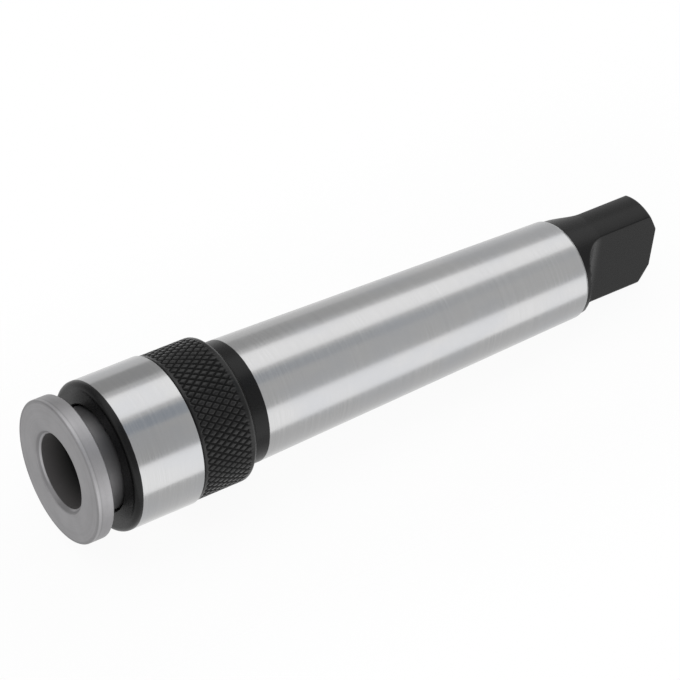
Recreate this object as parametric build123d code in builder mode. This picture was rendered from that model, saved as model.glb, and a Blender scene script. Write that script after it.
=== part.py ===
from build123d import *
import os

# Quick change tapping head on a Morse taper 4 shank, lying on its side. Millimetres.
# X is the tool axis and points to the tang, Z is up, and the tang's wide side is upright.
# The origin is on the axis in the gauge plane of the taper. A profile is a list of
# (place along the axis, radius) points, turned about the axis.

# Taper shank and tang
gauge_d = 31.267          # taper diameter at the gauge plane
taper_per_mm = 1 / 19.254 # change of diameter for each millimetre
gauge_setback = 6.5       # from the gauge plane to the large end
taper_to_tang = 92.6      # from the gauge plane to the small end
tang_total = 120.9        # from the gauge plane to the end of the tang
small_end_bevel = 0.4
tang_flare = 9.0          # length over which the neck narrows to the tang
tang_step = 1.0           # radial step from the small end down to the tang
tang_thick = 10.2
tang_start = 2.0          # round neck before the flats
tang_runout_r = 8.0       # cutter radius where the flats run out
tang_end_bevel = 2.6      # length of the bevel at the tang's end
tang_end_drop = 4.25      # radial drop over that bevel

# Collar behind the sleeve
collar_length = 6.9
collar_chamfer = 0.5
collar_shown = 4.0        # from the sleeve's back to the large end
collar_neck_step = 1.1    # radial step down to the hidden part of the collar
collar_neck_length = 5.9

# Spindle that carries the tap adaptor and floats in the shank
float_travel = 6.0
stem_d = 18.9
stem_bore_d = 13.2
stem_length = 43.0
stem_fit = 0.05           # radial running clearance in the shank
stem_end_room = 2.0
barrel_room = 1.2         # radial room round the barrel for the sleeve's spring
barrel_wall = 2.05
barrel_nose_length = 16.7 # from the bore's floor to the spindle's front face
barrel_floor = 2.5
barrel_flange_length = 3.0
barrel_seat_gap = 0.2     # between the flange and the shank's front face
edge_chamfer = 0.4

# Cross pin that drives the spindle, and the float spring
cross_pin_d = 5.0
pin_slot_clearance = 0.1
seat_thick = 2.0
seat_gap = 0.1
plug_length = 5.0
float_wire_d = 1.9
float_coils = 7
spring_side_gap = 0.2
driver_slot_width = 1.6
driver_slot_depth = 1.8

# Locking balls
ball_count = 3
ball_d = 3.5
ball_clearance = 0.05
ball_seat_gap = 0.02      # between a seated ball and the land
ball_to_nose = 4.2        # from the spindle's front face to the ball centres
ball_lift = 1.4           # outward travel that frees the adaptor

# Release sleeve
sleeve_travel = 4.5
sleeve_fit = 0.05         # radial running clearance on the spindle and the collar
sleeve_wall = 3.1         # from the sleeve's bore to its ground band
knurl_step = 0.4          # how far the knurl lies below the band
grip_length = 16.2        # knurled part
band_length = 17.2        # ground part
nose_length = 1.9         # dark rounded front
nose_lip_length = 2.2
nose_hole_gap = 0.4       # radial gap round the adaptor's neck
nose_round_r = 1.5
joint_chamfer = 0.35
grip_bevel = 1.8          # length of the bevel at the back of the knurled part
grip_bevel_drop = 2.3     # radial drop over that bevel
thread_share = 0.4        # where the joint of band and knurled part lies in the wall
thread_gap = 0.03
land_length = 5.1         # inner land that holds the balls in
land_lead = 0.6           # how far the land stops behind the ball centres
ramp_end_room = 0.15      # radial room past a ball that is out
ramp_lead = 0.2           # from the ramp's front to the end of the knurled part
sleeve_wire_d = 1.0
sleeve_coils = 5
spring_end_gap = 0.1

# Stop ring at the back of the sleeve
ring_thick = 1.1
ring_width = 1.5
ring_groove_depth = 0.6
ring_fit = 0.05
ring_gap = 4.0            # opening of the ring

# Tap adaptor
flange_d = 36.2
flange_length = 4.5
flange_stand_off = 5.3    # from the sleeve's nose to the back of the flange
flange_rim = 0.3          # length of the bevel at the face
flange_rim_drop = 0.25   # radial drop over that bevel
neck_step = 0.45          # radial step from the barrel's bore up to the neck
adaptor_fit = 0.05
tap_bore_d = 18.0
tap_bore_bevel = 0.8      # length of the bevel at the bore's mouth
tap_bore_flare = 0.28     # radial width of that bevel
tap_square = 14.6
tap_square_length = 14.6
square_corner_r = 1.5
adaptor_floor_gap = 0.3

# Two keys that turn the adaptor
key_count = 2
key_width = 4.0
key_length = 4.0
key_low_r = 11.2
key_high_r = 13.2
key_fit = 0.05

# Diameters that follow from the sizes above
collar_d = gauge_d + gauge_setback * taper_per_mm
collar_neck_d = collar_d - 2 * collar_neck_step
tang_d = gauge_d - taper_to_tang * taper_per_mm - 2 * tang_step
barrel_d = collar_d - 2 * barrel_room
barrel_bore_d = barrel_d - 2 * barrel_wall
neck_d = barrel_bore_d + 2 * neck_step
nose_hole_d = neck_d + 2 * nose_hole_gap
sleeve_d = collar_d + 2 * (sleeve_fit + sleeve_wall)
knurl_d = sleeve_d - 2 * knurl_step
ramp_end_d = barrel_d + 2 * (sleeve_fit + ball_lift + ramp_end_room)
flange_face_d = flange_d - 2 * flange_rim_drop

# Places along the axis
large_end = -gauge_setback
collar_front = large_end - collar_length
shank_front = collar_front - collar_neck_length
flange_back = shank_front - barrel_seat_gap
flange_front = flange_back - barrel_flange_length
barrel_bore_end = flange_back - barrel_floor
barrel_front = barrel_bore_end - barrel_nose_length
ball_place = barrel_front + ball_to_nose
stem_end = flange_back + stem_length
pin_place = (collar_front + shank_front) / 2
grip_back = large_end - collar_shown
grip_front = grip_back - grip_length
band_front = grip_front - band_length
nose_front = band_front - nose_length
land_front = ball_place + land_lead
land_back = land_front + land_length
ramp_rise = ball_lift + ramp_end_room
ramp_front = land_front - ramp_rise * sleeve_travel / ball_lift
tenon_front = ramp_front - ramp_lead
adaptor_flange_back = nose_front - flange_stand_off
face = adaptor_flange_back - flange_length
square_front = barrel_bore_end - adaptor_floor_gap - tap_square_length

os.makedirs("parts", exist_ok=True)


def turned(points, mode=Mode.ADD):
    """Turn a closed outline of (place, radius) points about the tool axis."""
    with BuildSketch(Plane.XY) as outline:
        with BuildLine():
            Polyline(*points, close=True)
        make_face()
    revolve(outline.sketch, axis=Axis.X, mode=mode)


def ring(start, end, outer_r, inner_r, mode=Mode.ADD):
    """Turn a plain ring or, with no inner radius, a plain disc."""
    turned([(start, inner_r), (end, inner_r), (end, outer_r), (start, outer_r)], mode)


def coil(start, end, mean_r, wire_d, turns):
    """Compression spring between two faces, its wire swept along a helix."""
    run = end - start - wire_d
    first = (start + wire_d / 2, 0, 0)
    with BuildLine() as path:
        Helix(pitch=run / turns, height=run, radius=mean_r, center=first, direction=(1, 0, 0))
    with BuildSketch(Plane(path.line @ 0, z_dir=path.line % 0)) as wire:
        Circle(wire_d / 2)
    sweep(wire.sketch, path=path.line, is_frenet=True)


def finish(part, name):
    """Name a finished piece and write it."""
    part.label = name
    export_step(part, f"parts/{name}.step")


def outward_directions(count):
    """Directions out from the tool axis, evenly spaced, the first straight up."""
    return [Vector(0, 0, 1).rotate(Axis.X, number * 360 / count) for number in range(count)]


def taper_r(place):
    """Radius of the taper at a place along the axis."""
    return (gauge_d - place * taper_per_mm) / 2


# Shank: taper, tang, collar and the bore for the floating spindle
small_end = taper_to_tang
tang_r = tang_d / 2
flat_start = small_end + tang_start
bore_r = stem_d / 2 + stem_fit
bore_end = stem_end + stem_end_room
with BuildPart() as shank:
    turned([
        (shank_front, 0),
        (shank_front, collar_neck_d / 2 - edge_chamfer),
        (shank_front + edge_chamfer, collar_neck_d / 2),
        (collar_front, collar_neck_d / 2),
        (collar_front, collar_d / 2 - collar_chamfer),
        (collar_front + collar_chamfer, collar_d / 2),
        (large_end, collar_d / 2),
        (small_end, taper_r(small_end)),
        (small_end + small_end_bevel, taper_r(small_end) - small_end_bevel),
        (small_end + tang_flare, tang_r),
        (tang_total - tang_end_bevel, tang_r),
        (tang_total, tang_r - tang_end_drop),
        (tang_total, 0),
    ])
    with BuildSketch(Plane.XY) as tang_cut:
        with BuildLine():
            Polyline(
                (flat_start, tang_thick / 2),
                (tang_total + tang_end_bevel, tang_thick / 2),
                (tang_total + tang_end_bevel, tang_d),
                (flat_start, tang_d),
                close=True,
            )
        make_face()
        fillet(tang_cut.vertices().group_by(Axis.Y)[0].sort_by(Axis.X)[0], tang_runout_r)
        mirror(about=Plane.XZ)
    extrude(tang_cut.sketch, amount=tang_d, both=True, mode=Mode.SUBTRACT)
    ring(shank_front, bore_end, bore_r, 0, Mode.SUBTRACT)
    with BuildSketch(Plane.XZ):
        with Locations((pin_place, 0)):
            Circle(cross_pin_d / 2)
    extrude(amount=collar_d, both=True, mode=Mode.SUBTRACT)
finish(shank.part, "shank")

# Cross pin: goes through the collar and both slots of the spindle
with BuildPart() as cross_pin:
    with BuildSketch(Plane.XZ):
        with Locations((pin_place, 0)):
            Circle(cross_pin_d / 2)
    extrude(amount=collar_neck_d / 2 - edge_chamfer, both=True)
    chamfer(cross_pin.edges().filter_by(GeomType.CIRCLE), edge_chamfer)
finish(cross_pin.part, "cross_pin")

# Spindle: bored barrel with ball holes and key notches, flange, and slotted stem
barrel_r = barrel_d / 2
slot_width = cross_pin_d + 2 * pin_slot_clearance
with BuildPart() as spindle:
    turned([
        (barrel_front, 0),
        (barrel_front, barrel_r - edge_chamfer),
        (barrel_front + edge_chamfer, barrel_r),
        (flange_front, barrel_r),
        (flange_front, collar_d / 2),
        (flange_back, collar_d / 2),
        (flange_back, stem_d / 2),
        (stem_end - edge_chamfer, stem_d / 2),
        (stem_end, stem_d / 2 - edge_chamfer),
        (stem_end, 0),
    ])
    ring(barrel_front, barrel_bore_end, barrel_bore_d / 2, 0, Mode.SUBTRACT)
    ring(flange_back, stem_end, stem_bore_d / 2, 0, Mode.SUBTRACT)
    with BuildSketch(Plane.XZ):
        with Locations((pin_place + float_travel / 2, 0)):
            SlotCenterToCenter(float_travel, slot_width)
    extrude(amount=stem_d, both=True, mode=Mode.SUBTRACT)
    for outward in outward_directions(ball_count):
        with BuildSketch(Plane(origin=(ball_place, 0, 0), x_dir=(1, 0, 0), z_dir=outward)):
            Circle(ball_d / 2 + ball_clearance)
        extrude(amount=barrel_d, mode=Mode.SUBTRACT)
    with BuildSketch(Plane.YZ.offset(barrel_front)):
        with PolarLocations(0, key_count):
            with Locations((barrel_bore_d / 2, 0)):
                Rectangle(2 * (key_high_r + key_fit - barrel_bore_d / 2), key_width + 2 * key_fit)
    extrude(amount=key_length + key_fit, mode=Mode.SUBTRACT)
finish(spindle.part, "spindle")

# Plug at the back of the stem, and the float spring between it and the cross pin
plug_front = stem_end - plug_length
plug_r = stem_bore_d / 2 - thread_gap
with BuildPart() as spindle_plug:
    ring(plug_front, stem_end, plug_r, 0)
    chamfer(spindle_plug.edges().filter_by(GeomType.CIRCLE), edge_chamfer)
    with BuildSketch(Plane.YZ.offset(stem_end)):
        Rectangle(stem_bore_d, driver_slot_width)
    extrude(amount=-driver_slot_depth, mode=Mode.SUBTRACT)
finish(spindle_plug.part, "spindle_plug")

seat_front = pin_place + cross_pin_d / 2 + seat_gap
seat_back = seat_front + seat_thick
with BuildPart() as spring_seat:
    ring(seat_front, seat_back, stem_bore_d / 2 - spring_side_gap, 0)
    chamfer(spring_seat.edges().filter_by(GeomType.CIRCLE), edge_chamfer)
finish(spring_seat.part, "spring_seat")

with BuildPart() as float_spring:
    float_mean_r = (stem_bore_d - float_wire_d) / 2 - spring_side_gap
    spring_start = seat_back + spring_end_gap
    spring_end = plug_front - spring_end_gap
    coil(spring_start, spring_end, float_mean_r, float_wire_d, float_coils)
finish(float_spring.part, "float_spring")

# Locking balls, one to a file, because each moves its own way
ball_centre_r = barrel_r + sleeve_fit - ball_d / 2
for number, outward in enumerate(outward_directions(ball_count), start=1):
    with BuildPart() as lock_ball:
        with Locations(Vector(ball_place, 0, 0) + outward * (ball_centre_r - ball_seat_gap)):
            Sphere(ball_d / 2)
    finish(lock_ball.part, f"lock_ball_{number}")

# Front of the release sleeve: dark rounded nose, ground band, and the thread's bore
sleeve_r = sleeve_d / 2
grip_bore_r = collar_d / 2 + sleeve_fit
thread_r = grip_bore_r + thread_share * (sleeve_r - grip_bore_r)
with BuildPart() as release_sleeve:
    turned([
        (nose_front, nose_hole_d / 2),
        (nose_front, sleeve_r),
        (grip_front - joint_chamfer, sleeve_r),
        (grip_front, sleeve_r - joint_chamfer),
        (grip_front, thread_r + thread_gap),
        (tenon_front - thread_gap, thread_r + thread_gap),
        (tenon_front - thread_gap, ramp_end_d / 2),
        (nose_front + nose_lip_length, ramp_end_d / 2),
        (nose_front + nose_lip_length, nose_hole_d / 2),
    ])
    nose_edges = release_sleeve.edges().filter_by(GeomType.CIRCLE).group_by(Axis.X)[0]
    fillet(nose_edges.sort_by(SortBy.RADIUS)[-1], nose_round_r)
    chamfer(nose_edges.sort_by(SortBy.RADIUS)[0], joint_chamfer)
finish(release_sleeve.part, "release_sleeve")

# Knurled back of the sleeve, with the ramp and the land that work the balls
land_r = barrel_r + sleeve_fit
ring_front = flange_back + spring_end_gap
ring_outer_r = grip_bore_r + ring_groove_depth
with BuildPart() as knurled_grip:
    turned([
        (tenon_front, ramp_end_d / 2),
        (tenon_front, thread_r),
        (grip_front, thread_r),
        (grip_front, knurl_d / 2 - joint_chamfer),
        (grip_front + joint_chamfer, knurl_d / 2),
        (grip_back - grip_bevel, knurl_d / 2),
        (grip_back, knurl_d / 2 - grip_bevel_drop),
        (grip_back, grip_bore_r),
        (land_back, grip_bore_r),
        (land_back, land_r),
        (land_front, land_r),
        (ramp_front, ramp_end_d / 2),
    ])
    groove_front = ring_front - ring_fit
    ring(groove_front, groove_front + ring_thick + 2 * ring_fit, ring_outer_r, land_r, Mode.SUBTRACT)
finish(knurled_grip.part, "knurled_grip")

with BuildPart() as stop_ring:
    ring(ring_front, ring_front + ring_thick, ring_outer_r - ring_fit, ring_outer_r - ring_width)
    with BuildSketch(Plane.YZ.offset(ring_front)):
        with Locations((0, -ring_outer_r)):
            Rectangle(ring_gap, 2 * ring_width + ring_fit)
    extrude(amount=ring_thick, mode=Mode.SUBTRACT)
finish(stop_ring.part, "stop_ring")

with BuildPart() as sleeve_spring:
    sleeve_mean_r = (barrel_r + grip_bore_r) / 2
    spring_start = land_back + spring_end_gap
    spring_end = flange_front - spring_end_gap
    coil(spring_start, spring_end, sleeve_mean_r, sleeve_wire_d, sleeve_coils)
finish(sleeve_spring.part, "sleeve_spring")

# Tap adaptor: flange, neck, shank with a ball groove, and a square for the tap
adaptor_r = barrel_bore_d / 2 - adaptor_fit
groove_r = ball_d / 2 + ball_clearance
with BuildPart() as tap_adaptor:
    turned([
        (face, 0),
        (face, flange_face_d / 2),
        (face + flange_rim, flange_d / 2),
        (adaptor_flange_back - edge_chamfer, flange_d / 2),
        (adaptor_flange_back, flange_d / 2 - edge_chamfer),
        (adaptor_flange_back, neck_d / 2),
        (barrel_front, neck_d / 2),
        (barrel_front, adaptor_r),
        (barrel_bore_end - adaptor_floor_gap - edge_chamfer, adaptor_r),
        (barrel_bore_end - adaptor_floor_gap, adaptor_r - edge_chamfer),
        (barrel_bore_end - adaptor_floor_gap, 0),
    ])
    with BuildSketch(Plane.XY) as ball_groove:
        with Locations((ball_place, ball_centre_r - ball_seat_gap)):
            Circle(groove_r)
    revolve(ball_groove.sketch, axis=Axis.X, mode=Mode.SUBTRACT)
    turned([
        (face, 0),
        (face, tap_bore_d / 2 + tap_bore_flare),
        (face + tap_bore_bevel, tap_bore_d / 2),
        (square_front, tap_bore_d / 2),
        (square_front, 0),
    ], Mode.SUBTRACT)
    with BuildSketch(Plane.YZ.offset(square_front)):
        RectangleRounded(tap_square, tap_square, square_corner_r)
    extrude(amount=tap_square_length, mode=Mode.SUBTRACT)
    with BuildSketch(Plane.YZ.offset(barrel_front)):
        with PolarLocations(0, key_count):
            with Locations(((key_low_r + neck_d / 2) / 2, 0)):
                Rectangle(neck_d / 2 - key_low_r, key_width)
    extrude(amount=key_length, mode=Mode.SUBTRACT)
finish(tap_adaptor.part, "tap_adaptor")

# Keys set in the adaptor, which turn it in the spindle's notches
with BuildPart() as adaptor_keys:
    with BuildSketch(Plane.YZ.offset(barrel_front)):
        with PolarLocations(0, key_count):
            with Locations(((key_low_r + key_high_r) / 2, 0)):
                Rectangle(key_high_r - key_low_r, key_width)
    extrude(amount=key_length)
finish(adaptor_keys.part, "adaptor_keys")
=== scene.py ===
from math import cos, pi, radians, sin

import bpy
import numpy as np
from bpy.props import FloatProperty, FloatVectorProperty, IntProperty, PointerProperty
from mathutils import Matrix, Vector


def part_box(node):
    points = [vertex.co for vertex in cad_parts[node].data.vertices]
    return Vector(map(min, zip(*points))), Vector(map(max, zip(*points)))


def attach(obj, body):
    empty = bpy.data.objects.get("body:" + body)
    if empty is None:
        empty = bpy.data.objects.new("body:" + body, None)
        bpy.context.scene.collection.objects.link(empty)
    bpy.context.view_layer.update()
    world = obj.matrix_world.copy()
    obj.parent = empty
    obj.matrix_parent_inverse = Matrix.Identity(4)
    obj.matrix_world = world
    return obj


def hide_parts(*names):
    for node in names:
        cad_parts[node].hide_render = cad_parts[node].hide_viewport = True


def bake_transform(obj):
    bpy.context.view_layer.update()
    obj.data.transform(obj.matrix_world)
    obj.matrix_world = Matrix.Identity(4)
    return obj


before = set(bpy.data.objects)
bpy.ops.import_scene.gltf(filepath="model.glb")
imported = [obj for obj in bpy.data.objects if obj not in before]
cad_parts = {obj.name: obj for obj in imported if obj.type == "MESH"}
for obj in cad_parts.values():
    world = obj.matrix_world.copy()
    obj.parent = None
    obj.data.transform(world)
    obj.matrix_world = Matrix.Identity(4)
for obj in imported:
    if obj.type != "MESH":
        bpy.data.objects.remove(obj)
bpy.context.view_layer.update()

bl_info = {
    "name": "Tapping head",
    "version": (1, 0, 0),
    "blender": (4, 5, 0),
    "location": "View3D > Sidebar > Tapping head",
    "description": "Finished surfaces of a quick change tapping head on a taper shank, built round its solids",
    "category": "Object",
}

# The tool axis is X and points to the tang. The corners of an outline are rows of place along the axis,
# radius, rounding and weight, and the outline made from them has rows of place, radius and weight.
# Their lengths are millimetres.
MM = 0.001
# A point of an outline that is this near to the axis lies on it.
ON_AXIS = 1e-9
# A zone of black oxide goes on this far past the end of its piece.
BEYOND = 5
WHITE = (1, 1, 1, 1)


def length(name, description, millimetres):
    """A length that the user may change, given in millimetres and kept in metres."""
    settings = {"default": millimetres * MM, "unit": "LENGTH", "precision": 5}
    return FloatProperty(name=name, description=description, **settings)


def tilt(name, description, degrees):
    """An angle that the user may change, given in degrees."""
    return FloatProperty(name=name, description=description, default=radians(degrees), subtype="ANGLE")


def number(name, description, value, least):
    """A whole number that the user may change."""
    return IntProperty(name=name, description=description, default=value, min=least)


def colour(name, description, value):
    """A colour that the user may change."""
    settings = {"default": value, "min": 0, "max": 1, "subtype": "COLOR"}
    return FloatVectorProperty(name=name, description=description, **settings)


def share(name, description, value):
    """A share from 0 to 1 that the user may change."""
    settings = {"default": value, "min": 0, "max": 1, "subtype": "FACTOR"}
    return FloatProperty(name=name, description=description, **settings)


class HeadSizes(bpy.types.PropertyGroup):
    """Sizes inside the outlines. The outer sizes come from the solids."""

    large_end: length("Large end", "Place of the taper's large end", -6.5)
    collar_front: length("Collar front", "Place where the shown collar begins", -13.4)
    collar_step: length("Collar step", "Step down to the collar's hidden part", 1.1)
    small_end: length("Small end", "Place of the taper's small end", 92.6)
    taper_drop: length("Taper drop", "Change of radius along the whole taper", 2.573)
    end_bevel: length("Small end bevel", "Bevel between the taper and the neck", 0.4)
    neck_flare: length("Neck flare", "Length over which the neck narrows to the tang", 9.0)
    tang_step: length("Tang step", "Radial step from the small end to the tang", 1.0)
    tang_half: length("Tang half thickness", "From the axis to a flat of the tang", 5.1)
    tang_start: length("Flats start", "From the small end to the start of the flats", 2.0)
    tang_runout: length("Flats runout", "Cutter radius where the flats run out", 8.0)
    tang_bevel: length("Tang bevel", "Length of the bevel at the tang's end", 2.6)
    tang_drop: length("Tang drop", "Radial drop of that bevel", 4.25)
    stem_bore: length("Stem bore", "Radius of the shank's bore", 9.5)
    stem_bore_end: length("Stem bore end", "Place of that bore's floor", 25.5)
    band_front: length("Band front", "Place where the ground band begins", -43.9)
    nose_round: length("Nose rounding", "Rounding of the sleeve's nose", 1.5)
    nose_hole: length("Nose hole", "Radius of the hole in the nose", 13.402)
    nose_lip: length("Nose lip", "Thickness of the nose round that hole", 2.2)
    ball_room: length("Ball room", "Radius of the room where the balls go", 16.202)
    thread: length("Sleeve joint", "Radius of the joint of the sleeve's halves", 17.092)
    sleeve_bore: length("Sleeve bore", "Radius of the sleeve's bore at its back", 15.852)
    land: length("Ball land", "Radius of the land that holds the balls in", 14.652)
    land_front: length("Land front", "Place where that land begins", -33.9)
    land_back: length("Land back", "Place where that land ends", -28.8)
    ring_groove: length("Ring groove", "Radius of the stop ring's groove", 16.452)
    ring_front: length("Ring groove front", "Place of that groove", -19.45)
    ring_back: length("Ring groove back", "End of that groove", -18.25)
    knurl_depth: length("Knurl depth", "Depth of the knurl's grooves", 0.36)
    knurl_groove: length("Knurl groove", "Half width of a groove at its top", 0.36)
    knurl_bevel: length("Knurl bevel", "Length of the bevel behind the knurl", 1.8)
    knurl_drop: length("Knurl drop", "Radial drop of that bevel", 2.3)
    knurl_smooth: length("Smooth rim", "Smooth part between the knurl and that bevel", 0.9)
    flange_back: length("Flange back", "Place of the back of the adaptor's flange", -51.1)
    flange_rim: length("Flange rim", "Length of the bevel at the flange's face", 0.3)
    flange_drop: length("Flange drop", "Radial drop of that bevel", 0.25)
    neck: length("Adaptor neck", "Radius of the adaptor's neck", 13.002)
    neck_back: length("Adaptor neck back", "Place where the neck ends", -38.7)
    adaptor_shank: length("Adaptor shank", "Radius of the adaptor inside the spindle", 12.502)
    ball_place: length("Ball place", "Place of the locking balls", -34.5)
    ball_centre: length("Ball centre", "Radius at which the balls lie", 12.882)
    ball_groove: length("Ball groove", "Radius of the round of the adaptor's groove", 1.8)
    tap_bore: length("Tap bore", "Radius of the bore for the tap", 9.0)
    bore_bevel: length("Bore bevel", "Length of the bevel at the bore's mouth", 1.1)
    bore_flare: length("Bore flare", "From the bore's radius to the mouth's edge", 1.6)
    bore_throat: length("Bore throat", "From the bore's radius to the bevel's inner edge", 0.5)
    bore_ease: length("Bore ease", "Length over which the throat narrows to the bore", 6.0)
    square_half: length("Square half", "Half width of the square for the tap", 7.3)
    square_front: length("Square front", "Place where the square begins", -36.9)
    float_wire: length("Float spring wire", "Diameter of the float spring's wire", 1.9)
    sleeve_wire: length("Sleeve spring wire", "Diameter of the sleeve spring's wire", 1.0)
    knurl_front: length("Smooth front", "Smooth part in front of the knurl", 0.8)
    ramp_lead: length("Ramp lead", "From the front of the sleeve's back half to its ramp", 0.2)
    edge: length("Edge bevel", "Bevel on the edges of the shank's front and the adaptor", 0.4)
    collar_edge: length("Collar edge", "Bevel on the edge of the shown collar", 0.5)
    joint_edge: length("Joint edge", "Bevel on the edges of the sleeve's two halves", 0.35)
    joint_gap: length("Joint gap", "Room in the joint of the sleeve's two halves", 0.03)
    float_coils: number("Float spring coils", "Turns of the float spring", 7, 2)
    sleeve_coils: number("Sleeve spring coils", "Turns of the sleeve spring", 5, 2)
    knurl_round: number("Knurl teeth", "Knurl diamonds round the sleeve", 60, 12)
    knurl_lean: tilt("Knurl lean", "Angle of a groove to the axis", 33.4)


class HeadColours(bpy.types.PropertyGroup):
    """Colours and gloss of the head's finishes."""

    ground: colour("Ground steel", "Taper and band", (0.356, 0.356, 0.357))
    black: colour("Black oxide", "Nose, collar and tang", (0.0018, 0.0018, 0.0019))
    knurl: colour("Knurl", "Tops of the knurl", (0.006, 0.006, 0.006))
    flange: colour("Flange", "Satin hardened steel of the adaptor", (0.268, 0.264, 0.27))
    bright: colour("Bright steel", "Balls, keys and pin", (0.62, 0.62, 0.63))
    wire: colour("Spring wire", "Springs and stop ring", (0.24, 0.235, 0.23))
    ground_rough: share("Ground roughness", "Roughness of the ground steel", 0.2)
    black_rough: share("Black roughness", "Roughness of the black oxide", 0.3)
    flange_rough: share("Flange roughness", "Roughness of the satin steel", 0.5)
    band: share("Band tone", "Ground band against the taper", 1.0)


class HeadStage(bpy.types.PropertyGroup):
    """Camera, lights and reflecting cards."""

    aim: FloatVectorProperty(
        name="Aim", description="Point the camera looks at",
        default=(0.03605, 0.01442, -0.01007), unit="LENGTH",
    )
    azimuth: tilt("Azimuth", "Turn of the camera round the tool", -38.964)
    elevation: tilt("Elevation", "Height of the camera", 41.582)
    roll: tilt("Roll", "Lean of the camera", -6.218)
    distance: length("Distance", "From the camera to the aim", 760.0)
    lens: FloatProperty(name="Lens", description="Focal length in millimetres", default=158.82)
    rise: FloatProperty(name="Rise", description="Upward shift of the frame", default=-0.0007, precision=4)
    light: FloatProperty(name="Strip light", description="Power of a strip light", default=2.8, unit="POWER")
    light_width: length("Strip width", "Width of each strip light", 375.0)
    width_below: FloatProperty(
        name="Lower strip share", description="Width and power of the lower strip against the upper one",
        default=1.17, min=0, subtype="FACTOR",
    )
    light_length: length("Strip length", "Length of each strip light", 2400.0)
    light_distance: length("Strip distance", "From the tool axis to each strip light", 520.0)
    light_angle: tilt("Upper strip angle", "Turn of the upper strip from the camera, round the axis", 56.0)
    light_angle_below: tilt("Lower strip angle", "Turn of the lower strip from the camera", 58.5)
    card_grey: colour("Dark card", "Card that darkens the upper side's reflections", (0.57, 0.57, 0.57))
    card_blue: colour("Blue card", "Card that cools the reflections between the lights", (0.56, 0.61, 0.68))
    card_low: colour("Pale card", "Card below the blue one, between the lights", (0.78, 0.78, 0.78))
    card_fade: share("Card fade", "How far each card turns white toward the tang", 0.9)
    ambient: FloatProperty(name="Ambient", description="Even light from all round", default=0.6, min=0)


def unit(vectors):
    """Each row divided by its length."""
    return vectors / np.linalg.norm(vectors, axis=-1, keepdims=True)


def eased(corners, steps=4, hold=0.12):
    """The outline with each corner replaced by an arc.
    An arc of radius R starts R / tan(half the corner's angle) before the corner and ends as far behind it.
    A point a little outside each end of the arc keeps the flat beside it flat. A corner with no rounding
    stays."""
    arc_share, hold_share = 0.42, 0.48
    corners = np.array(corners, float)
    at, rounding = corners[:, :2], corners[:, 2]
    back, ahead = np.roll(at, 1, 0) - at, np.roll(at, -1, 0) - at
    back_run, ahead_run = np.linalg.norm(back, axis=1), np.linalg.norm(ahead, axis=1)
    back, ahead = unit(back), unit(ahead)
    half = np.arccos(np.clip((back * ahead).sum(1), -1, 1)) / 2
    reach = np.minimum(rounding / np.tan(half), arc_share * np.minimum(back_run, ahead_run))
    radius = reach * np.tan(half)
    with np.errstate(invalid="ignore", divide="ignore"):
        centre = at + unit(back + ahead) * (radius / np.sin(half))[:, None]
        sweep = (pi - 2 * half)[:, None, None]
        part = np.linspace(0, 1, steps + 1)[None, :, None]
        first = (at + back * reach[:, None] - centre)[:, None]
        last = (at + ahead * reach[:, None] - centre)[:, None]
        swung = np.sin((1 - part) * sweep) * first + np.sin(part * sweep) * last
        arc = centre[:, None] + swung / np.sin(sweep)
    before = at + back * np.minimum(reach + hold, hold_share * back_run)[:, None]
    after = at + ahead * np.minimum(reach + hold, hold_share * ahead_run)[:, None]
    points = np.concatenate([before[:, None], arc, after[:, None]], 1)
    plain = rounding <= 0
    points[plain] = at[plain][:, None]
    kept = np.ones(points.shape[:2], bool)
    kept[plain, 1:] = False
    weights = np.repeat(corners[:, 3:4], points.shape[1], 1)
    return np.column_stack([points[kept], weights[kept]])


def filled(outline, start, end, step, least=0):
    """The outline with more points, at most a step apart, between two places along the axis and outside
    a least radius."""
    run = np.linalg.norm(np.diff(outline[:, :2], axis=0), axis=1)
    middle = (outline[1:, 0] + outline[:-1, 0]) / 2
    wanted = (middle > start) & (middle < end) & (outline[1:, 1] > least)
    parts = np.where(wanted, np.ceil(run / step), 1).astype(int)
    index = np.repeat(np.arange(len(parts)), parts)
    offset = np.arange(len(index)) - np.repeat(np.cumsum(parts) - parts, parts)
    place = np.append(index + offset / parts[index], len(outline) - 1)
    steps = np.arange(len(outline))
    return np.column_stack([np.interp(place, steps, column) for column in outline.T])


def soft_least(first, second, soft):
    """The smaller of two lengths, with the corner between them eased over a short length:
    (a + b - sqrt((a - b)^2 + soft^2)) / 2."""
    return (first + second - np.sqrt((first - second) ** 2 + soft**2)) / 2


def ring_faces(rows, count, around):
    """Faces from each of so many rows of a grid to the next one. A row closes round on itself, and behind
    the last row of the whole count comes the first."""
    row, turn = np.arange(rows)[:, None] * around, np.arange(around)[None, :]
    behind, following = (row + around) % (count * around), (turn + 1) % around
    corners = [row + turn, row + following, behind + following, behind + turn]
    return np.stack(corners, -1).reshape(-1, 4).tolist()


def sheet_faces(rows, columns):
    """Faces of a grid that is open on all four sides."""
    corner = np.arange(rows - 1)[:, None] * columns + np.arange(columns - 1)[None, :]
    corners = [corner, corner + columns, corner + columns + 1, corner + 1]
    return np.stack(corners, -1).reshape(-1, 4).tolist()


def fan(ring, tip, first):
    """Triangles that close a ring of points in a tip, at the first end of a surface or at its last."""
    following = np.roll(ring, -1)
    sides = (following, ring) if first else (ring, following)
    return np.stack([np.full(len(ring), tip), *sides], -1).tolist()


def shown(name, points, faces):
    """A smooth object in the scene, from points in millimetres and the numbers of each face's corners."""
    mesh = bpy.data.meshes.new(name)
    mesh.from_pydata((points * MM).tolist(), [], faces)
    mesh.shade_smooth()
    made = bpy.data.objects.new(name, mesh)
    bpy.context.scene.collection.objects.link(made)
    return made


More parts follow.
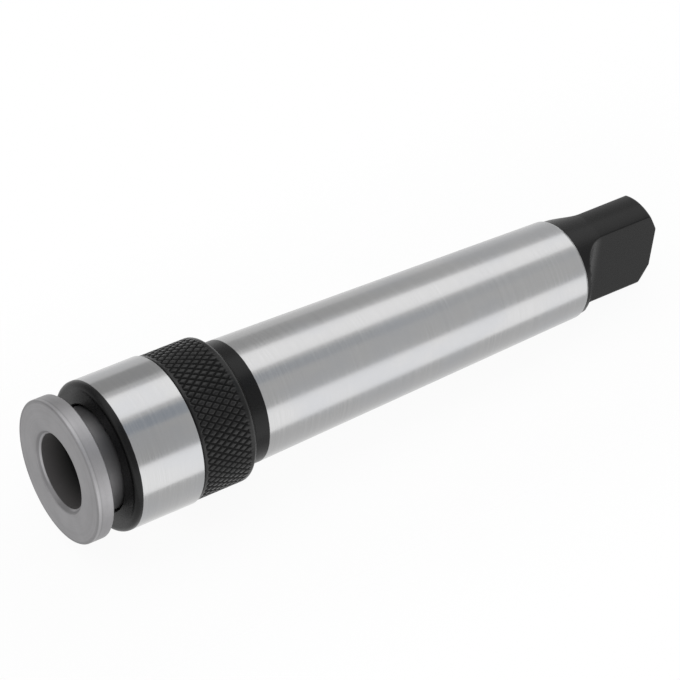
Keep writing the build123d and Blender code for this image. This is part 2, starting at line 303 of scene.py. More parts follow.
def turned(name, outline, around, closed=False, reshape=None):
    """Surface of a turned piece: the point of the outline at (x, r), turned by an angle a, is
    (x, r cos a, r sin a). reshape may give each point another radius, and a value of its own that materials
    read as "cut". An outline that starts or ends on the axis closes there in one point."""
    angle = (np.arange(around) * 2 * pi / around)[None, :]
    radius = np.repeat(outline[:, 1:2], around, 1)
    cut = np.zeros_like(radius)
    if reshape is not None:
        radius, cut = reshape(outline, angle)
    place = np.repeat(outline[:, 0:1], around, 1)
    on_axis = outline[:, 1] <= ON_AXIS
    grid = np.stack([place, radius * np.cos(angle), radius * np.sin(angle)], -1)[~on_axis]
    points, values = grid.reshape(-1, 3), cut[~on_axis].ravel()
    count = len(grid)
    faces = ring_faces(count if closed else count - 1, count, around)
    for end, row in ((0, 0), (-1, count - 1)):
        if on_axis[end]:
            faces += fan(row * around + np.arange(around), len(points), end == 0)
            points = np.vstack([points, [[outline[end, 0], 0, 0]]])
            values = np.append(values, 0.0)
    made = shown(name, points, faces)
    cuts = made.data.attributes.new("cut", "FLOAT", "POINT").data
    cuts.foreach_set("value", values.astype(np.float32))
    return made


def coiled(name, node, wire, coils, around=48, sides=12):
    """Wire of a coil spring in a solid's place. With a the angle turned from its start, the middle of the
    wire is at (x + run a / (2 pi coils), r cos a, r sin a), and its section is a circle square to that line.
    A fan closes each end."""
    low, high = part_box(node)
    start, run, mean = low.x / MM + wire / 2, (high.x - low.x) / MM - wire, high.z / MM - wire / 2
    angle = np.linspace(0, 2 * pi * coils, coils * around + 1)
    flat, whole = np.zeros_like(angle), angle[-1]
    middle = np.column_stack([start + run * angle / whole, mean * np.cos(angle), mean * np.sin(angle)])
    out = np.column_stack([flat, np.cos(angle), np.sin(angle)])
    lead = np.column_stack([flat + run / whole, -mean * np.sin(angle), mean * np.cos(angle)])
    side = np.cross(unit(lead), out)
    part = (np.arange(sides) * 2 * pi / sides)[:, None]
    section = np.cos(part) * out[:, None] + np.sin(part) * side[:, None]
    points = np.vstack([(middle[:, None] + wire / 2 * section).reshape(-1, 3), middle[[0, -1]]])
    rings, edge = len(angle), np.arange(sides)
    faces = ring_faces(rings - 1, rings, sides)
    faces += fan(edge, len(points) - 2, True)
    faces += fan((rings - 1) * sides + edge, len(points) - 1, False)
    return shown(name, points, faces)


class Wire:
    """One output of a node. Sums, differences, products and powers of wires add Math nodes."""

    def __init__(self, finish, socket):
        self.finish, self.socket = finish, socket

    def math(self, operation, *values):
        """A Math node of this operation on these values."""
        return self.finish.node("Math", {"operation": operation}, dict(enumerate(values)))

    def __add__(self, other):
        return self.math("ADD", self, other)

    def __radd__(self, other):
        return self.math("ADD", other, self)

    def __sub__(self, other):
        return self.math("SUBTRACT", self, other)

    def __rsub__(self, other):
        return self.math("SUBTRACT", other, self)

    def __mul__(self, other):
        return self.math("MULTIPLY", self, other)

    def __rmul__(self, other):
        return self.math("MULTIPLY", other, self)

    def __pow__(self, other):
        return self.math("POWER", self, other)

    def most(self, other):
        """The larger of two wires."""
        return self.math("MAXIMUM", self, other)


class Finish:
    """The nodes of a material, or of the world, under construction. Lengths in them are millimetres."""

    def __init__(self, owner):
        owner.use_nodes = True
        self.owner, self.tree = owner, owner.node_tree
        self.tree.nodes.clear()

    def node(self, kind, settings=None, inputs=None, output=0):
        """Any node, by its type after the word ShaderNode. Its settings are set first, then its sockets get
        their values or links."""
        made = self.tree.nodes.new("ShaderNode" + kind)
        for key, value in (settings or {}).items():
            setattr(made, key, value)
        for key, value in (inputs or {}).items():
            if isinstance(value, Wire):
                self.tree.links.new(value.socket, made.inputs[key])
            else:
                made.inputs[key].default_value = value
        return Wire(self, made.outputs[output]) if made.outputs else None

    def place(self):
        """Object coordinates in millimetres. The wires x, y and z then hold one direction each, and the
        wire radius the distance from the tool axis."""
        spot = self.node("TexCoord", output="Object")
        spot = self.node("VectorMath", {"operation": "SCALE"}, {0: spot, "Scale": 1 / MM})
        self.x, self.y, self.z = (
            self.node("SeparateXYZ", None, {0: spot}, axis) for axis in range(3)
        )
        self.radius = (self.y * self.y + self.z * self.z) ** 0.5
        return spot

    def grain(self, place, scale, detail=3.0, rough=0.5):
        """Noise from 0 to 1. The scale is in waves to the millimetre, one number for every direction or
        one for each."""
        if isinstance(scale, tuple):
            place = self.node("VectorMath", {"operation": "MULTIPLY"}, {0: place, 1: scale})
            scale = 1.0
        inputs = {"Vector": place, "Scale": scale, "Detail": detail, "Roughness": rough}
        return self.node("TexNoise", None, inputs, "Fac")

    def spread(self, value, low, high, to_low=0.0, to_high=1.0):
        """The value carried smoothly from one range to another, held at its ends."""
        inputs = {0: value, 1: low, 2: high, 3: to_low, 4: to_high}
        return self.node("MapRange", {"interpolation_type": "SMOOTHSTEP"}, inputs)

    def within(self, value, rise, fall):
        """0, then 1 between a rise and a fall, each given by its two ends, and then 0 again."""
        return self.spread(value, *rise) * (1 - self.spread(value, *fall))

    def mixed(self, factor, first, second):
        """A colour between two colours, from the sockets of a Mix node that are for colours."""
        settings = {"data_type": "RGBA", "clamp_factor": True}
        return self.node("Mix", settings, {0: factor, 6: first, 7: second}, 2)

    def relief(self, height, strength, distance):
        """A bump whose height is a wire from 0 to 1, so many millimetres deep."""
        inputs = {"Height": height, "Strength": strength, "Distance": distance * MM}
        return self.node("Bump", None, inputs)

    def looked_at(self):
        """1 on rays from the camera, and on those that come back from metal or through glass."""
        camera, glossy, through = (
            self.node("LightPath", output=f"Is {kind} Ray")
            for kind in ("Camera", "Glossy", "Transmission")
        )
        return camera.most(glossy).most(through)

    def glow(self, colour):
        """A plain light of this colour, at strength 1."""
        return self.node("Emission", None, {"Color": colour, "Strength": 1.0})

    def surface(self, constants, varying):
        """The Principled surface, with its fixed numbers on its own sockets."""
        return self.node("BsdfPrincipled", None, {**constants, **varying})

    def closed(self, shader, kind="OutputMaterial"):
        """The output node, fed by this shader. It ends the work, so the material or world
        comes back."""
        self.node(kind, None, {"Surface": shader})
        return self.owner


def started(name):
    """A new material under construction."""
    return Finish(bpy.data.materials.new(name))


def rgba(value):
    """A colour with full cover."""
    return (*value, 1.0)


def shaded(value, factor):
    """A colour made lighter or darker."""
    return rgba([part * factor for part in value])


def ground_and_black(name, colours, black_zones, tone=1.0, rough=0.0):
    """Ground steel with grinding lines round the axis, and black oxide between pairs of places."""
    finish = started(name)
    ground = [part * tone for part in colours.ground]
    dull = colours.ground_rough + rough
    spot = finish.place()
    lines = finish.grain(spot, (5.0, 0.035, 0.035), rough=0.65)
    fine = finish.grain(spot, (16.0, 0.2, 0.2), detail=2.0, rough=0.6)
    cloud = finish.grain(spot, (0.05, 0.09, 0.09))
    speck = finish.grain(spot, 2.6, rough=0.6)
    # The border of the oxide wanders a little and is soft, both in millimetres.
    wander, soft = 0.12, 0.06
    place = finish.x + (finish.grain(spot, 0.7, detail=2.0) - 0.5) * wander
    zones = [
        finish.within(place, (start - soft, start + soft), (end - soft, end + soft))
        for start, end in black_zones
    ]
    black = zones[0]
    for zone in zones[1:]:
        black = black.most(zone)
    # Lines are a little darker or lighter than the steel, and clouds cooler and up to so strong.
    line_low, line_high, tint, strength = 0.965, 1.035, (0.915, 0.94, 0.985), 0.45
    darker, lighter = shaded(ground, line_low), shaded(ground, line_high)
    steel = finish.mixed(finish.spread(lines, 0.3, 0.7), darker, lighter)
    cool = rgba([part * factor for part, factor in zip(ground, tint)])
    steel = finish.mixed(finish.spread(cloud, 0.42, 0.66) * strength, steel, cool)
    oxide = finish.mixed(finish.spread(speck, 0.35, 0.75), rgba(colours.black), shaded(colours.black, 1.9))
    steel_rough = finish.spread(lines + cloud * 0.5, 0.5, 1.0, dull - 0.03, dull + 0.06)
    oxide_rough = finish.spread(speck, 0.3, 0.7, colours.black_rough - 0.05, colours.black_rough + 0.07)
    height = (fine * 0.6 + lines * 0.4) * (1 - black) + (fine * 0.35 + speck * 0.65) * black
    varying = {
        "Base Color": finish.mixed(black, steel, oxide),
        "Metallic": 1 - black,
        "Roughness": steel_rough * (1 - black) + oxide_rough * black,
        "Normal": finish.relief(height, 0.3, 0.003),
    }
    return finish.closed(finish.surface({"Specular IOR Level": 0.175}, varying))


def satin_steel(name, colours, sizes):
    """Satin hardened steel of the adaptor: turning lines, worn edges, a neck darkened by painted shade, a
    bevel at the bore's mouth with painted shade and a painted highlight, and a black bore that darkens inward
    with painted shade.
    """
    finish = started(name)
    spot = finish.place()
    x, radius, flange = finish.x, finish.radius, colours.flange
    low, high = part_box("tap_adaptor")
    face, outside, back = low.x / MM, high.z / MM, sizes.flange_back / MM
    throat, mouth = (sizes.tap_bore + sizes.bore_throat) / MM, (sizes.tap_bore + sizes.bore_flare) / MM
    rim = face + sizes.bore_bevel / MM
    turning = finish.node("CombineXYZ", None, {0: x * 3.0, 1: radius * 3.0})
    rings = finish.grain(turning, 1.0, rough=0.7)
    cloud = finish.grain(spot, 0.16, detail=4.0)
    speck = finish.grain(spot, 3.2, rough=0.65)
    # Where each part of the surface lies. Each border is a short rise, from one place to the next.
    # Painted shade goes on the neck, between the flange and the sleeve's nose.
    neck = finish.spread(x, back - 0.1, back + 0.3)
    deep = finish.spread(x, rim - 0.15, rim + 0.1) * (1 - finish.spread(radius, throat + 0.1, throat + 0.3))
    # The bevel of the bore's mouth is darkened with painted shade.
    bevel = finish.spread(x, face + 0.1, face + 0.3) * (1 - finish.spread(radius, mouth, mouth + 0.1))
    # A painted highlight on the inner part of the bevel, near the bore.
    painted_bevel_highlight = bevel * (1 - finish.spread(radius, throat + 0.35, throat + 0.5))
    # The painted highlight is left off at the bevel's bottom, which is the lowest part of the mouth.
    bottom = (-9.2, -7.2)
    painted_bevel_highlight = painted_bevel_highlight * finish.spread(finish.z, *bottom)
    outer = finish.spread(radius, outside - 0.9, outside - 0.6)
    line = outer * (1 - finish.spread(x, face + 0.1, face + 0.25))
    worn = outer * finish.within(x, (face + 0.2, face + 0.35), (face + 0.8, face + 1.0))
    behind = outer * finish.within(x, (face + 0.85, face + 1.0), (face + 1.15, face + 1.35))
    # The bore is lighter at its mouth and darkens over so many millimetres, a painted shade deepening inward.
    near_black, deep_black, darkens = (0.09, 0.086, 0.086, 1.0), (0.01, 0.01, 0.01, 1.0), 8.5
    bore = finish.mixed(finish.spread(x, rim, rim + darkens), near_black, deep_black)
    # Layers over the mottled tone: painted shade on the neck and in the mouth's bevel, a painted highlight on
    # that bevel, dark lines at the rim, worn patches on it, and the black bore with its painted shade.
    layers = (
        (neck, shaded(flange, 0.5)),
        (bevel, shaded(flange, 0.72)),
        (painted_bevel_highlight * (0.3 + cloud), shaded(flange, 1.35)),
        (line * 0.35 + behind * 0.3, shaded(flange, 0.5)),
        (worn * (0.2 + speck * 0.6), shaded(flange, 1.3)),
        (deep, bore),
    )
    mottle = finish.spread(cloud * 0.6 + speck * 0.4, 0.35, 0.65)
    tone = finish.mixed(mottle, shaded(flange, 0.93), shaded(flange, 1.06))
    for mask, layer in layers:
        tone = finish.mixed(mask, tone, layer)
    dull = colours.flange_rough
    varying = {
        "Base Color": tone,
        "Metallic": 1 - deep * 0.95,
        "Roughness": finish.spread(rings + speck * 0.4, 0.4, 1.1, dull - 0.07, dull + 0.08),
        "Normal": finish.relief(rings * 0.7 + speck * 0.3, 0.4, 0.012),
    }
    return finish.closed(finish.surface({"Specular IOR Level": 0.3}, varying))


def knurled_black(name, colours):
    """Black oxide on the knurl: the grooves matt and darker, a painted shade that also weakens their
    reflection, and the tops worn a little lighter.
    """
    finish = started(name)
    spot = finish.place()
    cut = finish.node("Attribute", {"attribute_name": "cut"}, None, "Fac")
    speck = finish.grain(spot, 3.0, rough=0.6)
    cloud = finish.grain(spot, 0.2)
    worn = finish.spread(cloud * 0.6 + speck * 0.4, 0.38, 0.62)
    base = finish.mixed(worn, shaded(colours.knurl, 0.3), shaded(colours.knurl, 1.9))
    bump = finish.relief(speck, 0.3, 0.01)
    varying = {"Base Color": base, "Roughness": 0.32 - worn * 0.1, "Normal": bump}
    tops = finish.surface({"Specular IOR Level": 0.24}, varying)
    # Painted shade in the grooves: a darker colour than the tops', and a weaker reflection.
    constants = {"Base Color": shaded(colours.knurl, 0.6), "Specular IOR Level": 0.1, "Roughness": 0.6}
    grooves = finish.surface(constants, {"Normal": bump})
    depth = finish.spread(cut, 0.0, 0.6)
    return finish.closed(finish.node("MixShader", None, {0: depth, 1: tops, 2: grooves}))


def inner_steel(name, value, rough, metallic=1.0):
    """Steel of the parts inside: fine lines round the axis, and a light mottle."""
    finish = started(name)
    spot = finish.place()
    lines = finish.grain(spot, (8.0, 0.3, 0.3), rough=0.6)
    mottle = finish.grain(spot, 1.4)
    darker, lighter = shaded(value, 0.88), shaded(value, 1.08)
    varying = {
        "Base Color": finish.mixed(finish.spread(mottle, 0.35, 0.65), darker, lighter),
        "Roughness": finish.spread(lines + mottle, 0.6, 1.4, rough - 0.04, rough + 0.08),
        "Normal": finish.relief(lines, 0.3, 0.006),
    }
    return finish.closed(finish.surface({"Metallic": metallic, "Specular IOR Level": 0.35}, varying))


def chosen(scene):
    """The user's sizes and colours."""
    return scene.tapping_head_sizes, scene.tapping_head_colours


class TAPPINGHEAD_OT_shank(bpy.types.Operator):
    """Taper shank with its collar, tang and bore"""

    bl_idname = "tapping_head.shank"
    bl_label = "Shank"

    def execute(self, context):
        sizes, colours = chosen(context.scene)
        low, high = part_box("shank")
        front, end, collar = low.x / MM, high.x / MM, high.z / MM
        large, small, first = sizes.large_end / MM, sizes.small_end / MM, sizes.collar_front / MM
        hidden = collar - sizes.collar_step / MM
        small_r = collar - sizes.taper_drop / MM
        bevel, edge, collar_edge = sizes.end_bevel / MM, sizes.edge / MM, sizes.collar_edge / MM
        tang = small_r - sizes.tang_step / MM
        tip = tang - sizes.tang_drop / MM
        bore, floor = sizes.stem_bore / MM, sizes.stem_bore_end / MM
        corners = [
            (floor, 0, 0, 0),
            (floor, bore, 0.3, 0),
            (front, bore, 0.2, 0),
            (front, hidden - edge, 0.1, 0),
            (front + edge, hidden, 0.1, 0),
            (first, hidden, 0.15, 0),
            (first, collar - collar_edge, 0.1, 0),
            (first + collar_edge, collar, 0.1, 0),
            (large, collar, 0.3, 0),
            (small, small_r, 0.5, 0),
            (small + bevel, small_r - bevel, 0.3, 0),
            (small + sizes.neck_flare / MM, tang, 4.0, 0),
            (end - sizes.tang_bevel / MM, tang, 0.8, 0),
            (end, tip, 0.35, 0),
            (end, 0, 0, 0),
        ]
        # The flats cut the neck and the tang, whose outline gets points a step apart.
        step, past_bevel, short = 0.4, 0.5, 0.02
        outline = filled(eased(corners), small + bevel + past_bevel, end - short, step)
        start, runout, half = sizes.tang_start / MM, sizes.tang_runout / MM, sizes.tang_half / MM

        def flats(rows, angle):
            """The radius is the smaller of the turned radius and h / |cos a|, where h, the height of the
            flat, falls along a quarter round of the cutter: h = half + R - sqrt(R^2 - (R - run)^2).
            Before the flats start, h is lifted clear of the neck."""
            lift, soft, steepest = 8, 0.12, 0.05
            x, radius = rows[:, 0:1], rows[:, 1:2]
            run = np.clip(x - small - start, 0, runout)
            height = half + runout - np.sqrt(runout**2 - (runout - run) ** 2)
            height = height + np.clip(small + start - x, 0, 1) * lift
            full = np.maximum(radius, tip - short)
            flat = height / np.maximum(np.abs(np.cos(angle)), steepest)
            shaped = np.where(x > small, soft_least(full, flat, soft) * (radius / full), radius)
            return np.where(radius > 0, shaped, 0), np.zeros_like(shaped)

        made = turned("taper_shank", outline, around=480, reshape=flats)
        # The ground taper starts just behind the large end and goes on just past the small end's bevel.
        behind, past = 0.05, 0.12
        zones = [(front - BEYOND, large + behind), (small + bevel + past, end + BEYOND)]
        made.data.materials.append(ground_and_black("ground_taper", colours, zones))
        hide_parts("shank")
        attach(made, "holder")
        return {"FINISHED"}


class TAPPINGHEAD_OT_sleeve(bpy.types.Operator):
    """Front of the release sleeve, with the dark nose and the ground band"""

    bl_idname = "tapping_head.sleeve"
    bl_label = "Release sleeve"

    def execute(self, context):
        sizes, colours = chosen(context.scene)
        low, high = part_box("release_sleeve")
        front, back, outer = low.x / MM, high.x / MM, high.z / MM
        gap, edge = sizes.joint_gap / MM, sizes.joint_edge / MM
        hole, room, thread = sizes.nose_hole / MM, sizes.ball_room / MM, sizes.thread / MM + gap
        lip = front + sizes.nose_lip / MM
        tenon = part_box("knurled_grip")[0].x / MM - gap
        corners = [
            (front, hole + edge, 0.12, 0),
            (front, outer, sizes.nose_round / MM, 0),
            (back - edge, outer, 0.06, 0),
            (back, outer - edge, 0.06, 0),
            (back, thread, 0.1, 0),
            (tenon, thread, 0.1, 0),
            (tenon, room, 0.1, 0),
            (lip, room, 0.3, 0),
            (lip, hole, 0.15, 0),
            (front + edge, hole, 0.12, 0),
        ]
        made = turned("sleeve_band", eased(corners, steps=8), around=360, closed=True)
        nose = [(front - BEYOND, sizes.band_front / MM)]
        material = ground_and_black("ground_band", colours, nose, tone=colours.band, rough=-0.04)
        made.data.materials.append(material)
        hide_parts("release_sleeve")
        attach(made, "sleeve")
        return {"FINISHED"}


class TAPPINGHEAD_OT_grip(bpy.types.Operator):
    """Knurled back of the release sleeve"""

    bl_idname = "tapping_head.grip"
    bl_label = "Knurled grip"

    def execute(self, context):
        sizes, colours = chosen(context.scene)
        low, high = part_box("knurled_grip")
        tenon, back, outer = low.x / MM, high.x / MM, high.z / MM
        front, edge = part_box("release_sleeve")[1].x / MM, sizes.joint_edge / MM
        bore, land, room = sizes.sleeve_bore / MM, sizes.land / MM, sizes.ball_room / MM
        land_front, land_back, thread = sizes.land_front / MM, sizes.land_back / MM, sizes.thread / MM
        ring_r, ring_front, ring_back = sizes.ring_groove / MM, sizes.ring_front / MM, sizes.ring_back / MM
        rim = back - sizes.knurl_bevel / MM
        start, stop = front + sizes.knurl_front / MM, rim - sizes.knurl_smooth / MM
        corners = [
            (tenon, room, 0.05, 0),
            (tenon, thread, 0.15, 0),
            (front, thread, 0.1, 0),
            (front, outer - edge, 0.08, 0),
            (front + edge, outer, 0.08, 0),
            (start, outer, 0, 1),
            (stop, outer, 0, 1),
            (rim, outer, 0.9, 0),
            (back, outer - sizes.knurl_drop / MM, 0.4, 0),
            (back, bore, 0.2, 0),
            (ring_back, bore, 0, 0),
            (ring_back, ring_r, 0, 0),
            (ring_front, ring_r, 0, 0),
            (ring_front, bore, 0, 0),
            (land_back, bore, 0.15, 0),
            (land_back, land, 0.15, 0),
            (land_front, land, 0.3, 0),
            (tenon + sizes.ramp_lead / MM, room, 0.3, 0),
        ]
        # Each diamond gets so many points both ways, and only the outermost skin gets them.
        teeth, fineness, skin = sizes.knurl_round, 12, 0.1
        girth = 2 * pi * outer / teeth
        along = girth / np.tan(sizes.knurl_lean)
        outline = filled(eased(corners, steps=3), start, stop, along / fineness, outer - skin)
        depth, half = sizes.knurl_depth / MM, sizes.knurl_groove / MM

        def grooves(rows, angle):
            """Two families of V grooves lean either way. A groove lies where
            teeth * a / (2 pi) + or - x / pitch is whole, and its depth falls evenly to nothing at half its
            width. The deeper of the two counts. Grooves run in and out over a short length."""
            run_in, run_out = 0.5, 0.6
            x, radius, weight = rows[:, 0:1], rows[:, 1:2], rows[:, 2:3] > 0
            depths = np.zeros((len(rows), angle.shape[1]))
            for lean in (1, -1):
                phase = teeth * angle / (2 * pi) + lean * (x - start) / along
                off = np.abs(phase - np.round(phase)) * girth * np.cos(sizes.knurl_lean)
                depths = np.maximum(depths, np.clip(1 - off / half, 0, 1))
            ends = np.clip((x - start) / run_in, 0, 1) * np.clip((stop - x) / run_out, 0, 1)
            cut = depths * ends * weight
            return radius - depth * cut, cut

        around = teeth * fineness
        made = turned("knurled_grip_surface", outline, around, closed=True, reshape=grooves)
        made.data.materials.append(knurled_black("knurl_oxide", colours))
        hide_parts("knurled_grip")
        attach(made, "sleeve")
        return {"FINISHED"}


class TAPPINGHEAD_OT_adaptor(bpy.types.Operator):
    """Tap adaptor with its flange, neck, bore and square"""

    bl_idname = "tapping_head.adaptor"
    bl_label = "Tap adaptor"

    def execute(self, context):
        sizes, colours = chosen(context.scene)
        low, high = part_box("tap_adaptor")
        face, end, flange, edge = low.x / MM, high.x / MM, high.z / MM, sizes.edge / MM
        back, rim, drop = sizes.flange_back / MM, sizes.flange_rim / MM, sizes.flange_drop / MM
        neck, neck_back, shank = sizes.neck / MM, sizes.neck_back / MM, sizes.adaptor_shank / MM
        bore, square, half = sizes.tap_bore / MM, sizes.square_front / MM, sizes.square_half / MM
        place, centre, groove = sizes.ball_place / MM, sizes.ball_centre / MM, sizes.ball_groove / MM
        bevel, rounding = face + sizes.bore_bevel / MM, 0.6
        # The balls' groove is a round about the balls' centres.
        widest = np.arccos((centre - shank) / groove)
        turn = np.linspace(-widest, widest, 15)
        plain = np.zeros_like(turn)
        dip = np.column_stack([place + groove * np.sin(turn), centre - groove * np.cos(turn), plain, plain])
        corners = [
            (face, bore + sizes.bore_flare / MM, 0.15, 0),
            (face, flange - drop, 0.15, 0),
            (face + rim, flange, 0.3, 0),
            (back - edge, flange, 0.15, 0),
            (back, flange - edge, 0.15, 0),
            (back, neck, 0.5, 0),
            (neck_back, neck, 0.1, 0),
            (neck_back, shank, 0.1, 0),
            *dip.tolist(),
            (end - edge, shank, 0.1, 0),
            (end, shank - edge, 0.1, 0),
            (end, half + rounding, 0, 1),
            (end, half, 0, 1),
            (square, half, 0, 1),
            (square, bore, 0.1, 0),
            (bevel + sizes.bore_ease / MM, bore, 0.2, 0),
            (bevel, bore + sizes.bore_throat / MM, 0.1, 0),
        ]

        def socket(rows, angle):
            """Where the weight is 1 the radius is that of a square with round corners:
            (|cos a|^p + |sin a|^p)^(-1/p) times its half width."""
            power = 14
            radius, weight = rows[:, 1:2], rows[:, 2:3]
            squared = (np.abs(np.cos(angle)) ** power + np.abs(np.sin(angle)) ** power) ** (-1 / power)
            shaped = radius * (1 - weight + weight * squared)
            return shaped, np.zeros_like(shaped)

        outline = eased(corners, steps=6)
        made = turned("adaptor_surface", outline, around=360, closed=True, reshape=socket)
        made.data.materials.append(satin_steel("satin_flange", colours, sizes))
        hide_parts("tap_adaptor")
        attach(made, "float_unit")
        return {"FINISHED"}


class TAPPINGHEAD_OT_springs(bpy.types.Operator):
    """Float spring and sleeve spring, coils of wire set between the bodies they push on"""

    bl_idname = "tapping_head.springs"
    bl_label = "Springs"

    def execute(self, context):
        sizes, colours = chosen(context.scene)
        wire = inner_steel("spring_wire", colours.wire, rough=0.3)
        wanted = (
            ("float_spring_wire", "float_spring", "holder", sizes.float_wire / MM, sizes.float_coils),
            ("sleeve_spring_wire", "sleeve_spring", "sleeve", sizes.sleeve_wire / MM, sizes.sleeve_coils),
        )
        for name, node, front_body, thick, coils in wanted:
            made = coiled(name, node, thick, coils)
            made.data.materials.append(wire)
            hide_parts(node)
            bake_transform(made)
        return {"FINISHED"}


class TAPPINGHEAD_OT_inside(bpy.types.Operator):
    """Finishes of the parts inside, which keep their solids"""

    bl_idname = "tapping_head.inside"
    bl_label = "Inner parts"

    def execute(self, context):
        colours = context.scene.tapping_head_colours
        lighter = 2.5
        oxide = [part * lighter for part in colours.black]
        black = inner_steel("oxide_inside", oxide, colours.black_rough, metallic=0.0)
        bright = inner_steel("bright_inside", colours.bright, rough=0.16)
        spring = inner_steel("spring_inside", colours.wire, rough=0.3)
        grey = inner_steel("grey_inside", colours.flange, rough=0.36)
        finishes = {
            "spindle": black,
            "spindle_plug": black,
            "cross_pin": bright,
            "adaptor_keys": bright,
            "lock_ball_1": bright,
            "lock_ball_2": bright,
            "lock_ball_3": bright,
            "spring_seat": grey,
            "stop_ring": spring,
        }
        for node, material in finishes.items():
            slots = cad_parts[node].data.materials
            slots.clear()
            slots.append(material)
        return {"FINISHED"}


def directions(stage):
    """The camera's forward, right and up directions."""
    level = cos(stage.elevation)
    ahead = Vector((-sin(stage.azimuth) * level, cos(stage.azimuth) * level, -sin(stage.elevation)))
    right = ahead.cross(Vector((0, 0, 1))).normalized()
    leaning = cos(stage.roll) * right.cross(ahead) + sin(stage.roll) * right
    return ahead, ahead.cross(leaning).normalized(), leaning


def standing(name, data, spot, right, up):
    """A camera or lamp at a spot. It looks against the cross product of its right and up directions."""
    made = bpy.data.objects.new(name, data)
    made.matrix_world = Matrix.Translation(spot) @ Matrix((right, up, right.cross(up))).transposed().to_4x4()
    bpy.context.scene.collection.objects.link(made)
    return made


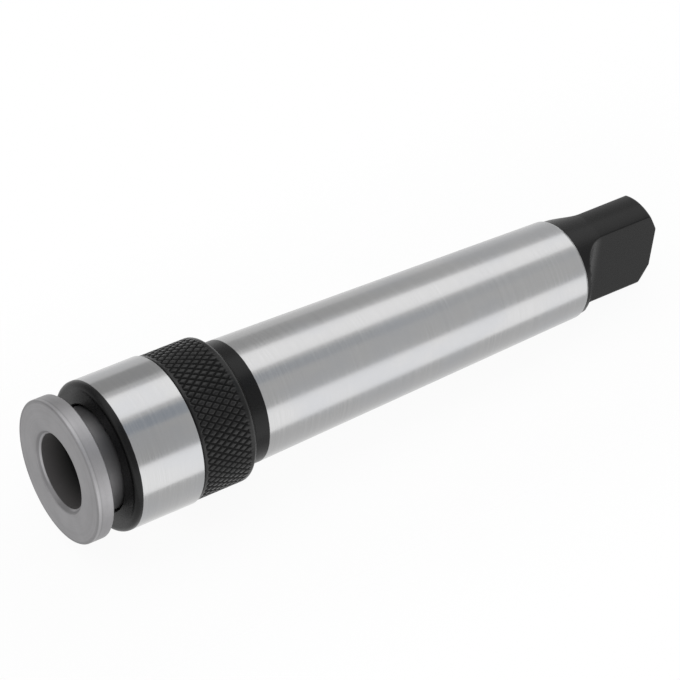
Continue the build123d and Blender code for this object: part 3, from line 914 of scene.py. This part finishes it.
class TAPPINGHEAD_OT_stage(bpy.types.Operator):
    """Floor, even light, two strip lights along the tool, reflecting cards, and the camera"""

    bl_idname = "tapping_head.stage"
    bl_label = "Stage"

    def execute(self, context):
        scene, stage = context.scene, context.scene.tapping_head_stage
        scene.view_settings.view_transform = "Standard"
        ahead, right, up = directions(stage)
        lens = bpy.data.cameras.new("camera")
        lens.lens, lens.sensor_width, lens.shift_y = stage.lens, 36.0, stage.rise
        lens.clip_start, lens.clip_end = 0.05, 10.0
        spot = Vector(stage.aim) - ahead * stage.distance
        scene.camera = standing("camera", lens, spot, right, up)
        self.lights(stage, ahead)
        self.cards(stage, ahead)
        self.world(scene, stage)
        self.floor(scene.tapping_head_sizes)
        return {"FINISHED"}

    def lights(self, stage, ahead):
        """Each strip runs along the tool, turned about the axis from the camera's side."""
        axis, middle = Vector((1, 0, 0)), Vector((0.25, 0, 0))
        front = -Vector((0, ahead.y, ahead.z)).normalized()
        strips = (
            ("strip_above", -stage.light_angle, 1.0),
            ("strip_below", stage.light_angle_below, stage.width_below),
        )
        for name, turn, wide in strips:
            side = Matrix.Rotation(turn, 3, axis) @ front
            lamp = bpy.data.lights.new(name, "AREA")
            lamp.shape, lamp.size, lamp.size_y = "RECTANGLE", stage.light_length, stage.light_width * wide
            lamp.energy = stage.light * wide
            made = standing(name, lamp, side * stage.light_distance + middle, axis, side.cross(axis))
            made.visible_camera = False

    def cards(self, stage, ahead):
        """Long studio cards that only reflections see. Each is part of a round wall about the tool axis:
        a point of it lies at (x, d cos b, d sin b), with b across the card and x along it. A card lies at
        an angle from the camera's side, reaches another to each side, and turns whiter along the tool, from
        one place to another."""
        base, across = np.arctan2(-ahead.z, -ahead.y), 13
        behind_lights, ends, fade_start = 1.3, (-1000, 1500), 200
        wall = behind_lights * stage.light_distance / MM
        wanted = (
            ("card_grey", -103, 17, stage.card_grey, 600),
            ("card_blue", -20, 9, stage.card_blue, 600),
            ("card_low", 14, 24, stage.card_low, 430),
        )
        for name, middle, half, tone, fade_end in wanted:
            b = base + np.radians(np.linspace(middle - half, middle + half, across))[:, None]
            grid = np.stack(np.broadcast_arrays(np.array([ends]), wall * np.cos(b), wall * np.sin(b)), -1)
            card = shown(name, grid.reshape(-1, 3), sheet_faces(across, 2))
            card.visible_camera = card.visible_diffuse = card.visible_shadow = False
            finish = started(name)
            finish.place()
            far = rgba([part + (1 - part) * stage.card_fade for part in tone])
            shade = finish.mixed(finish.spread(finish.x, fade_start, fade_end), rgba(tone), far)
            card.data.materials.append(finish.closed(finish.glow(shade)))

    def world(self, scene, stage):
        """Even light, with a white background for the camera and in reflections."""
        scene.world = scene.world or bpy.data.worlds.new("studio")
        studio = Finish(scene.world)
        inputs = {"Value": studio.looked_at(), "To Min": stage.ambient, "To Max": 1.0}
        level = studio.node("MapRange", None, inputs)
        light = studio.node("Background", None, {"Color": WHITE, "Strength": level})
        studio.closed(light, "OutputWorld")

    def floor(self, sizes):
        """A pale floor that touches the knurl's back and the taper's small end, and fades out round the
        tool. Its height is that of the line through both places."""
        grip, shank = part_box("knurled_grip"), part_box("shank")
        near = ((grip[1].x - sizes.knurl_bevel) / MM, grip[0].z / MM)
        far = (sizes.small_end / MM, -(shank[1].z - sizes.taper_drop) / MM)
        slope, gap = (far[1] - near[1]) / (far[0] - near[0]), 0.1
        ends, sides, rows, columns = (-300, 360), (-200, 200), 23, 17
        x, y = np.linspace(*ends, rows)[:, None], np.linspace(*sides, columns)[None, :]
        z = near[1] + slope * (x - near[0]) - gap
        grid = np.stack(np.broadcast_arrays(x, y, z), -1)
        floor = shown("floor", grid.reshape(-1, 3), sheet_faces(rows, columns))
        floor.visible_glossy = False
        finish = started("pale_floor")
        spot = finish.place()
        paper = finish.mixed(finish.grain(spot, 0.4), (0.86, 0.86, 0.86, 1), (0.9, 0.9, 0.9, 1))
        matt, white_share = finish.surface({"Roughness": 0.8}, {"Base Color": paper}), 0.94
        lit = {0: finish.looked_at() * white_share, 1: matt, 2: finish.glow(WHITE)}
        lit = finish.node("MixShader", None, lit)
        # It fades out over these distances from the axis and from its own middle.
        across_fade, along_fade, centre = (38, 88), (110, 170), 30
        across, off = (finish.y * finish.y) ** 0.5, finish.x - centre
        along = (off * off) ** 0.5
        fade = (1 - finish.spread(across, *across_fade)) * (1 - finish.spread(along, *along_fade))
        clear = finish.node("BsdfTransparent")
        shader = finish.node("MixShader", None, {0: fade, 1: clear, 2: lit})
        floor.data.materials.append(finish.closed(shader))


OPERATORS = (
    TAPPINGHEAD_OT_shank,
    TAPPINGHEAD_OT_sleeve,
    TAPPINGHEAD_OT_grip,
    TAPPINGHEAD_OT_adaptor,
    TAPPINGHEAD_OT_springs,
    TAPPINGHEAD_OT_inside,
    TAPPINGHEAD_OT_stage,
)


class TAPPINGHEAD_PT_panel(bpy.types.Panel):
    """Sizes, colours and pieces of the tapping head"""

    bl_idname = "TAPPINGHEAD_PT_panel"
    bl_label = "Tapping head"
    bl_space_type = "VIEW_3D"
    bl_region_type = "UI"
    bl_category = "Tapping head"

    def draw(self, context):
        for operator in OPERATORS:
            self.layout.operator(operator.bl_idname)
        for group in ("tapping_head_sizes", "tapping_head_colours", "tapping_head_stage"):
            box = self.layout.box()
            values = getattr(context.scene, group)
            for name in values.__annotations__:
                box.prop(values, name)


GROUPS = {
    "tapping_head_sizes": HeadSizes,
    "tapping_head_colours": HeadColours,
    "tapping_head_stage": HeadStage,
}


def register():
    for made in (*GROUPS.values(), *OPERATORS, TAPPINGHEAD_PT_panel):
        bpy.utils.register_class(made)
    for name, group in GROUPS.items():
        setattr(bpy.types.Scene, name, PointerProperty(type=group))


def unregister():
    for name in GROUPS:
        delattr(bpy.types.Scene, name)
    for made in (TAPPINGHEAD_PT_panel, *reversed(OPERATORS), *GROUPS.values()):
        bpy.utils.unregister_class(made)


def main():
    register()
    bpy.ops.tapping_head.shank()
    bpy.ops.tapping_head.sleeve()
    bpy.ops.tapping_head.grip()
    bpy.ops.tapping_head.adaptor()
    bpy.ops.tapping_head.springs()
    bpy.ops.tapping_head.inside()
    bpy.ops.tapping_head.stage()


if __name__ == "__main__":
    main()
